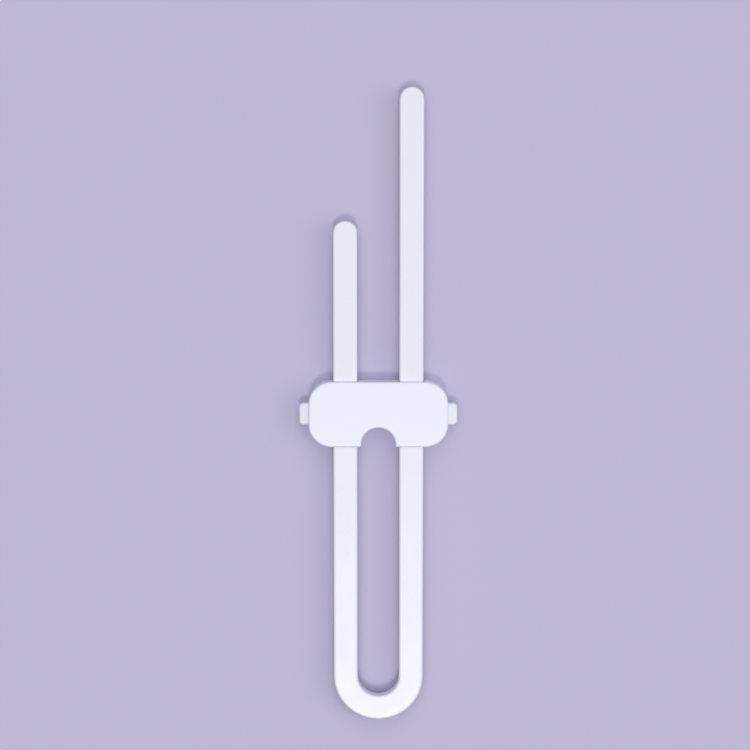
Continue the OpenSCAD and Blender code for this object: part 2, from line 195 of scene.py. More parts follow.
# Buttons: the seat of the spring, with its peg
SEAT_X = 6.5
SEAT_T = 1.2
SEAT_W = 4.4
SEAT_H = 5.2
PEG_R = 1.5
PEG_LEN = 1.2
PEG_EDGE = 0.3
PEG_STEPS = 32
PEG_EDGE_STEPS = 4

# Buttons: the pawl, whose crests are so narrow that its edge is finer than the others
PAWL_IN_X = 14.3
PAWL_ROOT_X = 17.0
PAWL_CREST_X = 18.2
PAWL_TEETH = 3
PAWL_TOP_Z = 6.6
PAWL_EDGE = 0.04
PAWL_EDGE_STEPS = 2
# Gap between the pawl's teeth and those of the rack
MESH_GAP = 0.3

# Springs, whose end curls lie close together
WIRE_D = 0.45
WIRE_SIDES = 12
SPRING_D = spring_high.z - spring_low.z
SPRING_ANVIL_X = ANVIL_T / 2
SPRING_GAP = 0.1
CURLS = 4
END_CURLS = 0.75
END_PITCH = 0.55
RINGS_PER_CURL = 32

# Screws, and the holes, recesses and bosses that hold them
SCREW_X = 25.05
SCREW_Y = 10.05
SCREW_PLACES = [(sx * SCREW_X, sy * SCREW_Y) for sx in (-1, 1) for sy in (-1, 1)]
SCREW_D = 2.2
SCREW_GAP = 0.05
SCREW_TOP_Z = screw_high.z
HEAD_Z = screw_low.z
HEAD_D = 4.0
HEAD_H = 1.3
HEAD_DOME = 0.45
HEAD_EDGE = 0.05
HOLE_R = SCREW_D / 2 + SCREW_GAP
RECESS_D = 1.7
RECESS_R = 2.2
BOSS_R = 2.75

# Screws: the cross in the head, which narrows inwards by its draft
CROSS_LEN_SHARE = 0.6
CROSS_W_SHARE = 0.16
CROSS_DRAFT = 0.1

# Screws: the thread, and the point with the share of the thread's radius that is left at its tip
THREAD_STEP = 0.08
THREAD_SIDES = 24
THREAD_PITCH = 0.8
THREAD_CORE = 0.78
THREAD_CREST_SHARE = 0.35
POINT_LEN = 1.2
TIP_SHARE = 0.35


# Outlines, which run counter-clockwise

def arc(x, y, r, start, end, steps=ARC_STEPS):
    """Points of an arc, both ends included, with its angles in degrees."""
    turns = [math.radians(start + (end - start) * i / steps) for i in range(steps + 1)]
    return [(x + r * math.cos(a), y + r * math.sin(a)) for a in turns]


def joined(*stretches):
    """One closed outline from several stretches, without doubled points."""
    points = []
    for point in (p for stretch in stretches for p in stretch):
        if not points or math.dist(points[-1], point) > SAME_POINT:
            points.append(point)
    if math.dist(points[0], points[-1]) < SAME_POINT:
        points.pop()
    return points


def offset(points, inset):
    """The outline moved inwards by inset, with mitred corners."""
    moved = []
    for i, here in enumerate(points):
        before = Vector(here) - Vector(points[i - 1])
        after = Vector(points[(i + 1) % len(points)]) - Vector(here)
        n1 = Vector((-before.y, before.x)).normalized()
        n2 = Vector((-after.y, after.x)).normalized()
        moved.append(Vector(here) + (n1 + n2) * inset / (1 + n1.dot(n2)))
    return moved


def mirrored(points):
    """The outline on the other side of the lock."""
    return [(-x, y) for x, y in reversed(points)]


def rect(low_x, high_x, low_y, high_y):
    return [(low_x, low_y), (high_x, low_y), (high_x, high_y), (low_x, high_y)]


def round_rect(w, h, r, x=0.0, y=0.0):
    dx, dy = w / 2 - r, h / 2 - r
    return joined(
        arc(x + dx, y + dy, r, 0, 90, EDGE_STEPS),
        arc(x - dx, y + dy, r, 90, 180, EDGE_STEPS),
        arc(x - dx, y - dy, r, 180, 270, EDGE_STEPS),
        arc(x + dx, y - dy, r, 270, 360, EDGE_STEPS))


def circle(x, y, r, steps=CIRCLE_STEPS):
    return joined(arc(x, y, r, 0, 360, steps))


def softened(points, r, steps=CORNER_STEPS):
    """The outline with each sharp corner rounded."""
    soft = []
    for i, here in enumerate(points):
        here = Vector(here)
        back = (Vector(points[i - 1]) - here).normalized()
        on = (Vector(points[(i + 1) % len(points)]) - here).normalized()
        opening = back.angle(on)
        if opening > BLUNT_ANGLE:
            soft.append(tuple(here))
            continue
        reach = r / math.tan(opening / 2)
        start, end = here + back * reach, here + on * reach
        for k in range(steps + 1):
            t = k / steps
            soft.append(tuple(start * (1 - t) ** 2 + here * 2 * t * (1 - t) + end * t ** 2))
    return soft


# Profiles: how far an outline is drawn in at each level, as (inset, level) from the lowest level up

def quarter_turn(steps):
    """The angles of a quarter turn, both ends included."""
    return [math.pi / 2 * i / steps for i in range(steps + 1)]


def round_edge(r, level, way, steps=EDGE_STEPS):
    """A solid's round edge at level, which is its highest (way 1) or its lowest (way -1)."""
    if r == 0:
        return [(0.0, level)]
    edge = [(r * (1 - math.cos(a)), level - way * r * (1 - math.sin(a))) for a in quarter_turn(steps)]
    return edge[::way]


def rim(r, level, way, steps):
    """The round rim of a cut where it goes in at level (way 1), or comes out there (way -1)."""
    edge = [(-r * (1 - math.sin(a)), level + way * r * (1 - math.cos(a))) for a in quarter_turn(steps)]
    return edge[::way]


def wall(low, high, low_r=0.0, high_r=0.0, steps=EDGE_STEPS):
    """A straight wall between two levels, with round edges at its ends."""
    return round_edge(low_r, low, -1, steps) + round_edge(high_r, high, 1, steps)


def pocket(face, floor, rim_r, floor_r):
    """A blind cut that starts below face, opens there with a round rim, and ends at floor."""
    start = [(-rim_r, face - OVER)] + rim(rim_r, face, 1, POCKET_STEPS)
    return start + round_edge(floor_r, floor, 1, POCKET_STEPS)


def tunnel(low, high, rim_r):
    """A cut right through, with a round rim at both faces."""
    start = [(-rim_r, low - OVER)] + rim(rim_r, low, 1, TUNNEL_STEPS)
    return start + rim(rim_r, high, -1, TUNNEL_STEPS) + [(-rim_r, high + OVER)]


# Solids

# Turns for a solid whose levels run along X, or against Y, and whose outline then stands upright
ALONG_X = Matrix(((0, 0, 1, 0), (1, 0, 0, 0), (0, 1, 0, 0), (0, 0, 0, 1)))
ALONG_Y = Matrix(((1, 0, 0, 0), (0, 0, -1, 0), (0, 1, 0, 0), (0, 0, 0, 1)))


def new_object(name, mesh):
    data = bpy.data.meshes.new(name)
    mesh.to_mesh(data)
    mesh.free()
    made = bpy.data.objects.new(name, data)
    bpy.context.scene.collection.objects.link(made)
    return made


def skin(mesh, rings):
    """Adds a closed solid: walls from each ring of corners to the next, and a face at each end."""
    count = len(rings[0])
    for low, high in zip(rings, rings[1:]):
        for i in range(count):
            j = (i + 1) % count
            mesh.faces.new((low[i], low[j], high[j], high[i]))
    mesh.faces.new(rings[0][::-1])
    mesh.faces.new(rings[-1])


def solids(name, outlines, profile, turn=None):
    """One object that holds a solid for each outline, drawn in as the profile says."""
    mesh = bmesh.new()
    for outline in outlines:
        skin(mesh, [[mesh.verts.new((p[0], p[1], level)) for p in offset(outline, inset)]
                    for inset, level in profile])
    made = new_object(name, mesh)
    if turn:
        made.data.transform(turn)
    return made


def solid(name, outline, profile, turn=None):
    return solids(name, [outline], profile, turn)


def block(low_x, high_x, w, low_z, high_z):
    """A rectangular solid with small bevels, as wide on one side of the X axis as on the other."""
    outline = softened(rect(low_x, high_x, -w / 2, w / 2), MOULD_EDGE, 1)
    return solid("block", outline, wall(low_z, high_z, MOULD_EDGE, MOULD_EDGE, 1))


def apply_boolean(piece, tool, operation):
    """Cuts or joins the tool's solid into the piece, and deletes the tool."""
    step = piece.modifiers.new("step", "BOOLEAN")
    step.operation = operation
    step.solver = "EXACT"
    step.object = tool
    graph = bpy.context.evaluated_depsgraph_get()
    made = bpy.data.meshes.new_from_object(piece.evaluated_get(graph))
    piece.modifiers.remove(step)
    spent, piece.data = piece.data, made
    bpy.data.meshes.remove(spent)
    bpy.data.meshes.remove(tool.data)


def cut(piece, *tools):
    for tool in tools:
        apply_boolean(piece, tool, "DIFFERENCE")


def add(piece, *tools):
    for tool in tools:
        apply_boolean(piece, tool, "UNION")


def settle(piece, node_name, body, material, centre_y=0.0):
    """Moves a finished piece from millimetres to its place, and has it stand for its CAD node."""
    piece.data.transform(Matrix.Scale(MM, 4) @ Matrix.Translation((0, centre_y, 0)))
    piece.data.name = piece.name
    for face in piece.data.polygons:
        face.use_smooth = True
    piece.data.set_sharp_from_angle(angle=HARD_ANGLE)
    piece.data.materials.clear()
    piece.data.materials.append(material)
    even = piece.modifiers.new("even_normals", "WEIGHTED_NORMAL")
    even.keep_sharp = True
    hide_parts(node_name)
    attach(piece, body)


# Bar

def bar_outline():
    return joined(
        arc(0, BEND_Y, ARM_OUT_X, 180, 360, 2 * ARC_STEPS),
        arc(ARM_X, LONG_TIP_Y, ARM_W / 2, 0, 180),
        arc(0, BEND_Y, ARM_IN_X, 360, 180, 2 * ARC_STEPS),
        arc(-ARM_X, SHORT_TIP_Y, ARM_W / 2, 0, 180))


def rack_outline(teeth, end_y):
    """The channel of the long arm, whose outer wall carries the teeth."""
    points = [(CHANNEL_IN_X, LOWER_STOP_Y), (CHANNEL_OUT_X, LOWER_STOP_Y)]
    crest_x = CHANNEL_OUT_X - TOOTH_H
    for i in range(teeth):
        y = RACK_Y + i * TOOTH_PITCH
        points += [(CHANNEL_OUT_X, y), (crest_x, y), (crest_x, y + TOOTH_CREST),
                   (CHANNEL_OUT_X, y + TOOTH_CREST + TOOTH_SLOPE)]
    return points + [(CHANNEL_OUT_X, end_y), (CHANNEL_IN_X, end_y)]


def bend_pocket_outlines():
    """Pockets between the ribs of the bend; the first and the last run up the arms to the lower stop."""
    step = 180 / (BEND_RIBS + 1)
    stop_y = LOWER_STOP_Y - STOP_T
    outlines = []
    for k in range(BEND_RIBS + 1):
        start, end = 180 + k * step, 180 + (k + 1) * step
        first, last = k == 0, k == BEND_RIBS
        sides = []
        for r, way in ((CHANNEL_OUT_X, 1), (CHANNEL_IN_X, -1)):
            half_rib = math.degrees(math.asin(STOP_T / 2 / r))
            low = start if first else start + half_rib
            high = end if last else end - half_rib
            sides.append(arc(0, BEND_Y, r, low, high, BEND_STEPS)[::way])
        long_end = [(CHANNEL_OUT_X, stop_y), (CHANNEL_IN_X, stop_y)] if last else []
        short_end = [(-CHANNEL_IN_X, stop_y), (-CHANNEL_OUT_X, stop_y)] if first else []
        outlines.append(softened(joined(sides[0], long_end, sides[1], short_end), POCKET_R))
    return outlines


def tip_pocket_outline():
    """The pocket in the long arm's tip, above the upper stop."""
    foot_y = UPPER_STOP_Y + STOP_T
    return softened(joined(
        [(CHANNEL_IN_X, foot_y), (CHANNEL_OUT_X, foot_y)],
        arc(ARM_X, LONG_TIP_Y, CHANNEL_W / 2, 0, 180, SMALL_ARC_STEPS)), POCKET_R)


def make_bar(material):
    bar = solid("bar_moulding", bar_outline(), wall(BAR_Z, BAR_TOP_Z, BAR_BACK_R, BAR_FRONT_R))
    cut(bar, solids("channels", [
        rack_outline(LONG_TEETH, UPPER_STOP_Y),
        mirrored(rack_outline(SHORT_TEETH, SHORT_TIP_Y + ARM_W)),
        tip_pocket_outline(),
        *bend_pocket_outlines()], pocket(BAR_Z, BAR_Z + CHANNEL_D, RIM_R, CHANNEL_FLOOR_R)))
    settle(bar, "bar", "bar", material)


# Catch

def catch_outline():
    dx, dy = CATCH_W / 2 - CORNER_R, CATCH_H / 2 - CORNER_R
    mouth_x, mouth_y = ARCH_R + MOUTH_R, MOUTH_R - CATCH_H / 2
    return joined(
        arc(-dx, -dy, CORNER_R, 180, 270),
        arc(-mouth_x, mouth_y, MOUTH_R, 270, 360, MOUTH_STEPS),
        arc(0, ARCH_Y, ARCH_R, 180, 0),
        arc(mouth_x, mouth_y, MOUTH_R, 180, 270, MOUTH_STEPS),
        arc(dx, -dy, CORNER_R, 270, 360),
        arc(dx, dy, CORNER_R, 0, 90),
        arc(-dx, dy, CORNER_R, 90, 180))


def cavity_outline():
    """The hollow inside the walls, which goes round the arch."""
    corner = CORNER_R - SIDE_WALL
    dx, dy = INNER_W / 2 - corner, INNER_H / 2 - corner
    r = ARCH_R + ARCH_WALL
    foot = math.degrees(math.asin((-INNER_H / 2 - ARCH_Y) / r))
    return joined(
        arc(-dx, -dy, corner, 180, 270),
        arc(0, ARCH_Y, r, 180 - foot, foot),
        arc(dx, -dy, corner, 270, 360),
        arc(dx, dy, corner, 0, 90),
        arc(-dx, dy, corner, 90, 180))


def screw_circles(r):
    return [circle(x, y, r) for x, y in SCREW_PLACES]


def opening_cuts():
    """Slots for the arms and windows for the buttons, through both shells."""
    mid_z = (SLOT_Z + CAVITY_TOP_Z) / 2
    slot_w, slot_h = SLOT_OUT_X - SLOT_IN_X, CAVITY_TOP_Z - SLOT_Z
    for side in (-1, 1):
        slot = round_rect(slot_w, slot_h, SLOT_R, x=side * ARM_X, y=mid_z)
        yield solid("slot", slot, tunnel(-CATCH_H / 2, CATCH_H / 2, SLOT_RIM), ALONG_Y)
    window = round_rect(BUTTON_H + 2 * RUN_GAP, BUTTON_T + 2 * RUN_GAP, SLOT_R, y=PARTING_Z)
    yield solid("window", window, tunnel(-CATCH_W / 2, CATCH_W / 2, WINDOW_RIM), ALONG_X)


def inner_features(low_z, high_z):
    """The anvil between the springs and the bosses for the screws, which both shells have."""
    anvil = rect(-ANVIL_T / 2, ANVIL_T / 2, ARCH_Y + ARCH_R + MERGE, INNER_H / 2 + MERGE)
    yield solid("anvil", anvil, wall(low_z, high_z))
    yield solids("bosses", screw_circles(BOSS_R), wall(low_z, high_z))


def guide_ribs(low_z, high_z, reach_y):
    """Ribs on both sides of each arm, the inner ones from the arch's wall on."""
    foot_y = ARCH_Y + math.sqrt((ARCH_R + ARCH_WALL + LIP_GAP) ** 2 - (SLOT_IN_X - GUIDE_T) ** 2)
    outlines = []
    for x, low_y in ((SLOT_IN_X - GUIDE_T, foot_y), (SLOT_OUT_X, -reach_y)):
        right = rect(x, x + GUIDE_T, low_y, reach_y)
        outlines += [right, mirrored(right)]
    return solids("ribs", outlines, wall(low_z, high_z))


def lip_groove():
    """The groove in the front shell that takes the back shell's lip."""
    outline = offset(catch_outline(), SIDE_WALL - LIP_T - LIP_GAP)
    groove = solid("groove", outline, wall(PARTING_Z - OVER, PARTING_Z + LIP_H + LIP_GAP))
    cut(groove, solid("core", offset(cavity_outline(), LIP_GAP), wall(PARTING_Z - 2 * OVER, CATCH_T)))
    return groove


def make_front(material):
    roof_z = CAVITY_TOP_Z + MERGE
    shell = solid("front_shell", catch_outline(), wall(PARTING_Z, CATCH_T, PARTING_BEVEL, FRONT_R))
    cut(shell, solid("cavity", cavity_outline(), wall(PARTING_Z - OVER, CAVITY_TOP_Z, 0, INNER_R)))
    add(shell, *inner_features(PARTING_Z, roof_z))
    ribs = guide_ribs(PARTING_Z, roof_z, INNER_H / 2 + MERGE)
    add(ribs, guide_ribs(BAR_Z, PARTING_Z + MERGE, INNER_H / 2 - LIP_GAP))
    add(shell, ribs)
    pilot_wall = wall(PARTING_Z - OVER, SCREW_TOP_Z + SCREW_GAP)
    cut(shell, lip_groove(), *opening_cuts(), solids("pilots", screw_circles(HOLE_R), pilot_wall))
    settle(shell, "front_cover", "catch", material, CATCH_Y)


def arm_pads():
    """Pads under the arms, on both sides of a button's plate."""
    low_y, high_y = PLATE_W / 2 + RUN_GAP, INNER_H / 2 + MERGE
    half_w = ARM_W / 2 + RUN_GAP
    outlines = [rect(sx * ARM_X - half_w, sx * ARM_X + half_w, *sorted((sy * low_y, sy * high_y)))
                for sx in (-1, 1) for sy in (-1, 1)]
    return solids("pads", outlines, wall(BACK_WALL - MERGE, SLOT_Z))


def spring_cradle():
    """The block under both springs, with a round trough for them."""
    half_len = ANVIL_T / 2 + CRADLE_REACH
    half_w = SPRING_D / 2 + SPRING_GAP + WIRE_D
    top_z = PARTING_Z - (SPRING_D - WIRE_D) / 2
    cradle = solid("cradle", rect(-half_len, half_len, -half_w, half_w), wall(BACK_WALL - MERGE, top_z))
    trough = circle(0, PARTING_Z, SPRING_D / 2 + SPRING_GAP)
    cut(cradle, solid("trough", trough, wall(-half_len - OVER, half_len + OVER), ALONG_X))
    return cradle


def make_back(material):
    lip_z = PARTING_Z + LIP_H
    shell = solid("back_shell", catch_outline(), wall(0, PARTING_Z, BACK_R, PARTING_BEVEL))
    lip = offset(catch_outline(), SIDE_WALL - LIP_T)
    add(shell, solid("lip", lip, wall(PARTING_Z - OVER, lip_z, 0, PARTING_BEVEL)))
    cut(shell, solid("cavity", cavity_outline(), wall(BACK_WALL, lip_z + OVER, INNER_R)))
    add(shell, *inner_features(BACK_WALL - MERGE, PARTING_Z), arm_pads(), spring_cradle())
    cut(shell,
        *opening_cuts(),
        solids("holes", screw_circles(HOLE_R), wall(-OVER, lip_z + OVER)),
        solids("recesses", screw_circles(RECESS_R), pocket(0, RECESS_D, RIM_R, 0)),
        solid("gate_dimple", circle(0, GATE_Y, GATE_R), pocket(0, GATE_D, RIM_R, GATE_D / 2)))
    stub = wall(GATE_STUB_Z, GATE_D + MERGE, GATE_STUB_EDGE, 0, GATE_STUB_STEPS)
    add(shell, solid("gate_stub", circle(0, GATE_Y, GATE_STUB_R), stub))
    settle(shell, "back_cover", "catch", material, CATCH_Y)


# Buttons

def pad_outline():
    """The pad that is pressed, from the flange out."""
    corner_x, corner_y = BUTTON_OUT_X - BUTTON_CORNER_R, BUTTON_H / 2 - BUTTON_CORNER_R
    inner_x = FLANGE_X + MERGE
    return joined(
        [(inner_x, -BUTTON_H / 2)],
        arc(corner_x, -corner_y, BUTTON_CORNER_R, 270, 360, SMALL_ARC_STEPS),
        arc(corner_x, corner_y, BUTTON_CORNER_R, 0, 90, SMALL_ARC_STEPS),
        [(inner_x, BUTTON_H / 2)])


def pawl_outline():
    """The pawl, whose steep faces look towards the long arm's tip."""
    half_len = PAWL_TEETH * TOOTH_PITCH / 2
    height = PAWL_CREST_X - PAWL_ROOT_X
    slope_gap = MESH_GAP * math.hypot(TOOTH_H, TOOTH_SLOPE) / TOOTH_SLOPE
    rise = (slope_gap - MESH_GAP) * TOOTH_SLOPE / TOOTH_H
    points = [(PAWL_IN_X, -half_len), (PAWL_ROOT_X, -half_len)]
    for i in range(PAWL_TEETH):
        foot_y = i * TOOTH_PITCH - half_len + TOOTH_CREST + rise
        crest_y = foot_y + height * TOOTH_SLOPE / TOOTH_H
        steep_y = (i + 1) * TOOTH_PITCH - half_len - MESH_GAP
        points += [(PAWL_ROOT_X, foot_y), (PAWL_CREST_X, crest_y),
                   (PAWL_CREST_X, steep_y), (PAWL_ROOT_X, steep_y)]
    return points + [(PAWL_IN_X, half_len - MESH_GAP)]


def make_button(name, node_name, side, material):
    """A button for the +X side (side 1), or its mirror image for the other (side -1)."""
    low_z, high_z = PARTING_Z - BUTTON_T / 2, PARTING_Z + BUTTON_T / 2
    button = solid(name, pad_outline(), wall(low_z, high_z, BUTTON_EDGE_R, BUTTON_EDGE_R))
    pawl_wall = wall(PLATE_TOP_Z - MERGE, PAWL_TOP_Z, 0, PAWL_EDGE, PAWL_EDGE_STEPS)
    peg_wall = wall(SEAT_X - PEG_LEN, SEAT_X + MERGE, PEG_EDGE, 0, PEG_EDGE_STEPS)
    add(button,
        block(FLANGE_X, FLANGE_X + FLANGE_T, FLANGE_H, PLATE_Z, BAR_TOP_Z),
        block(SEAT_X, FLANGE_X + MERGE, PLATE_W, PLATE_Z, PLATE_TOP_Z),
        solid("pawl", pawl_outline(), pawl_wall),
        block(SEAT_X, SEAT_X + SEAT_T, SEAT_W, PLATE_Z + MERGE / 2, PLATE_TOP_Z + SEAT_H),
        solid("peg", circle(0, PARTING_Z, PEG_R, PEG_STEPS), peg_wall, ALONG_X))
    if side < 0:
        button.data.transform(Matrix.Scale(-1, 4, (1, 0, 0)))
        button.data.flip_normals()
    settle(button, node_name, node_name, material, CATCH_Y)


# Springs

def helix_rise(turn):
    """How far along the spring its wire has come: the end turns lie close, the others are evenly spread."""
    length = SEAT_X - SPRING_ANVIL_X - 2 * SPRING_GAP - WIRE_D
    end_length = END_CURLS * END_PITCH
    open_pitch = (length - 2 * end_length) / (CURLS - 2 * END_CURLS)
    if turn < END_CURLS:
        return turn * END_PITCH
    if turn > CURLS - END_CURLS:
        return length - (CURLS - turn) * END_PITCH
    return end_length + (turn - END_CURLS) * open_pitch


def wire_ring(mesh, turn, side):
    """One ring of corners round the wire, on the +X side (side 1) or turned to the other (side -1)."""
    angle = 2 * math.pi * turn
    out = Vector((0, math.cos(angle), math.sin(angle)))
    start_x = SPRING_ANVIL_X + SPRING_GAP + WIRE_D / 2
    centre = out * (SPRING_D - WIRE_D) / 2 + Vector((start_x + helix_rise(turn), 0, PARTING_Z))
    ring = []
    for k in range(WIRE_SIDES):
        a = 2 * math.pi * k / WIRE_SIDES
        point = centre + (out * math.cos(a) + Vector((math.sin(a), 0, 0))) * WIRE_D / 2
        ring.append(mesh.verts.new((side * point.x, side * point.y, point.z)))
    return ring


def make_spring(name, node_name, side, material):
    """A coil spring from the anvil to a button's seat."""
    mesh = bmesh.new()
    skin(mesh, [wire_ring(mesh, i / RINGS_PER_CURL, side) for i in range(CURLS * RINGS_PER_CURL + 1)])
    bmesh.ops.recalc_face_normals(mesh, faces=mesh.faces)
    spring = new_object(name, mesh)
    settle(spring, node_name, "catch", material, CATCH_Y)
    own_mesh(spring)


# Screws

def thread_ring(mesh, x, y, z):
    """One ring of corners of a thread, whose crest winds round with the level."""
    taper = TIP_SHARE + (1 - TIP_SHARE) * min(1.0, (SCREW_TOP_Z - z) / POINT_LEN)
    ring = []
    for k in range(THREAD_SIDES):
        phase = (z / THREAD_PITCH - k / THREAD_SIDES) % 1.0
        crest = max(0.0, 1 - abs(phase - 0.5) / THREAD_CREST_SHARE)
        r = (THREAD_CORE + (SCREW_D / 2 - THREAD_CORE) * crest) * taper
        a = 2 * math.pi * k / THREAD_SIDES
        ring.append(mesh.verts.new((x + r * math.cos(a), y + r * math.sin(a), z)))
    return ring


def threads():
    """The threads of all the screws, from under their heads to their points."""
    foot_z = RECESS_D - MERGE
    steps = round((SCREW_TOP_Z - RECESS_D) / THREAD_STEP)
    levels = [foot_z + (SCREW_TOP_Z - foot_z) * i / steps for i in range(steps + 1)]
    mesh = bmesh.new()
    for x, y in SCREW_PLACES:
        skin(mesh, [thread_ring(mesh, x, y, z) for z in levels])
    return new_object("threads", mesh)


def make_screws(material):
    """Four self-tapping screws with a cross in the head."""
    head_wall = wall(HEAD_Z, HEAD_Z + HEAD_H, HEAD_DOME, HEAD_EDGE)
    screws = solids("shell_screws", screw_circles(HEAD_D / 2), head_wall)
    half_len, half_w = HEAD_D * CROSS_LEN_SHARE / 2, HEAD_D * CROSS_W_SHARE / 2
    draft = [(-CROSS_DRAFT, HEAD_Z - OVER), (-CROSS_DRAFT / 2, HEAD_Z), (CROSS_DRAFT, HEAD_Z + HEAD_H / 2)]
    for half_x, half_y in ((half_len, half_w), (half_w, half_len)):
        blades = [rect(x - half_x, x + half_x, y - half_y, y + half_y) for x, y in SCREW_PLACES]
        cut(screws, solids("blades", blades, draft))
    add(screws, threads())
    settle(screws, "cover_screws", "catch", material, CATCH_Y)


# Materials

# Detail of a noise: smooth, middling or fine
SMOOTH = 1.0
MIDDLING = 2.0
FINE = 3.0
# Parts of a noise's values: the middle ones, most of them, and the few high ones that make hairlines
MIDDLE_VALUES = (0.35, 0.65)
MOST_VALUES = (0.3, 0.7)
HIGH_VALUES = (0.66, 0.74)

# Plastic: sizes of its features in millimetres
CLOUD_SIZE = 28.0
SPECK_SIZE = 1.1
HAIR_SIZE = 0.35
GLOSS_SIZE = 9.0
WAVE_SIZE = 14.0
GRAIN_SIZE = 0.22
# Scale along a hairline, against 1 across it
HAIR_SHARE = 0.02
# Plastic: strength and depth in millimetres of its waves, its grain, and its hairlines, which are cut in
WAVE_BUMP = (0.35, 0.06)
GRAIN_BUMP = (0.18, 0.02)
HAIR_BUMP = (0.12, -0.01)
# Plastic: how far its roughness varies, and what a hairline adds to it
GLOSS_SPREAD = 0.015
HAIR_ROUGHNESS = 0.04
PLASTIC_IOR = 1.49
# Plastic: share of the light that goes in, and how far in millimetres, with each colour's share of that
INNER_LIGHT_SHARE = 0.15
INNER_LIGHT_REACH = 1.2
INNER_COLOUR_SHARES = (1.0, 0.95, 0.9)

# Steel: sizes of its clouds and marks, the marks' strength and depth, and how far its roughness varies
STEEL_CLOUD_SIZE = 1.6
MARK_SIZE = 0.12
MARK_BUMP = (0.15, 0.01)
STEEL_SMOOTHER = 0.08
STEEL_ROUGHER = 0.1

# Floor: size of its clouds in millimetres, its roughness and its two tones
FLOOR_CLOUD_SIZE = 90.0
FLOOR_ROUGHNESS = 0.7
FLOOR_COLOUR = (0.56, 0.52, 0.70)
FLOOR_SHADE = (0.552, 0.512, 0.692)


def node(tree, kind, inputs=(), **settings):
    """A shader node with its settings, and its inputs linked or set."""
    made = tree.nodes.new(kind)
    for name, value in settings.items():
        setattr(made, name, value)
    for name, value in dict(inputs).items():
        if isinstance(value, bpy.types.NodeSocket):
            tree.links.new(value, made.inputs[name])
        else:
            made.inputs[name].default_value = value
    return made


def new_material(name):
    """A material, with its tree, its shader and the place on the piece."""
    made = bpy.data.materials.new(name)
    made.use_nodes = True
    tree = made.node_tree
    place = node(tree, "ShaderNodeTexCoord").outputs["Object"]
    return made, tree, tree.nodes["Principled BSDF"], place


def noise(tree, place, size, detail, shift):
    """Noise whose features are about size millimetres across; another shift gives another pattern."""
    inputs = {"Vector": place, "W": shift, "Scale": 1 / (size * MM), "Detail": detail}
    return node(tree, "ShaderNodeTexNoise", inputs, noise_dimensions="4D").outputs["Fac"]


def spread(tree, value, low=0.0, high=1.0, part=MIDDLE_VALUES):
    """A part of a noise's values spread over the range from low to high."""
    inputs = {"Value": value, "From Min": part[0], "From Max": part[1], "To Min": low, "To Max": high}
    return node(tree, "ShaderNodeMapRange", inputs).outputs["Result"]


def drawn_out(tree, place, along):
    """Coordinates in which patterns are drawn out along one axis of the lock."""
    shares = [HAIR_SHARE if axis == along else 1.0 for axis in "XYZ"]
    return node(tree, "ShaderNodeMapping", {"Vector": place, "Scale": shares}).outputs["Vector"]


def two_tone(tree, shader, share, colour, shade):
    """Gives the shader a base colour that is mixed from two tones."""
    inputs = {"Factor": share, "A": (*colour, 1), "B": (*shade, 1)}
    mixed = node(tree, "ShaderNodeMix", inputs, data_type="RGBA")
    tree.links.new(mixed.outputs["Result"], shader.inputs["Base Color"])


def bumped(tree, height, bump, under=None):
    """The normal of a relief with that strength and depth, over another one's if there is one."""
    inputs = {"Height": height, "Strength": bump[0], "Distance": bump[1] * MM}
    if under:
        inputs["Normal"] = under
    return node(tree, "ShaderNodeBump", inputs).outputs["Normal"]


def plastic(name, colour, shade, roughness, hair_along, shift):
    """Moulded white plastic: a slightly uneven tone, a fine grain, a faint waviness and hairline marks."""
    made, tree, shader, place = new_material(name)
    cloud = spread(tree, noise(tree, place, CLOUD_SIZE, SMOOTH, shift))
    speck = spread(tree, noise(tree, place, SPECK_SIZE, FINE, shift), part=MOST_VALUES)
    tone = node(tree, "ShaderNodeMath", {0: cloud, 1: speck}, operation="MULTIPLY").outputs["Value"]
    two_tone(tree, shader, tone, colour, shade)
    hair_place = drawn_out(tree, place, hair_along)
    hair = spread(tree, noise(tree, hair_place, HAIR_SIZE, MIDDLING, shift), part=HIGH_VALUES)
    gloss = spread(tree, noise(tree, place, GLOSS_SIZE, SMOOTH, shift), roughness - GLOSS_SPREAD,
                   roughness + GLOSS_SPREAD)
    rough = node(tree, "ShaderNodeMath", {0: hair, 1: HAIR_ROUGHNESS, 2: gloss}, operation="MULTIPLY_ADD")
    tree.links.new(rough.outputs["Value"], shader.inputs["Roughness"])
    waves = bumped(tree, noise(tree, place, WAVE_SIZE, SMOOTH, shift), WAVE_BUMP)
    grain = bumped(tree, noise(tree, place, GRAIN_SIZE, MIDDLING, shift), GRAIN_BUMP, waves)
    tree.links.new(bumped(tree, hair, HAIR_BUMP, grain), shader.inputs["Normal"])
    shader.inputs["IOR"].default_value = PLASTIC_IOR
    shader.inputs["Subsurface Weight"].default_value = INNER_LIGHT_SHARE
    shader.inputs["Subsurface Radius"].default_value = INNER_COLOUR_SHARES
    shader.inputs["Subsurface Scale"].default_value = INNER_LIGHT_REACH * MM
    return made


def steel(name, colour, shade, roughness, shift):
    """Plated steel with a cloudy tone and fine marks."""
    made, tree, shader, place = new_material(name)
    cloud = spread(tree, noise(tree, place, STEEL_CLOUD_SIZE, FINE, shift))
    two_tone(tree, shader, cloud, colour, shade)
    marks = noise(tree, place, MARK_SIZE, FINE, shift)
    rough = spread(tree, marks, roughness - STEEL_SMOOTHER, roughness + STEEL_ROUGHER)
    tree.links.new(rough, shader.inputs["Roughness"])
    tree.links.new(bumped(tree, marks, MARK_BUMP), shader.inputs["Normal"])
    shader.inputs["Metallic"].default_value = 1.0
    return made


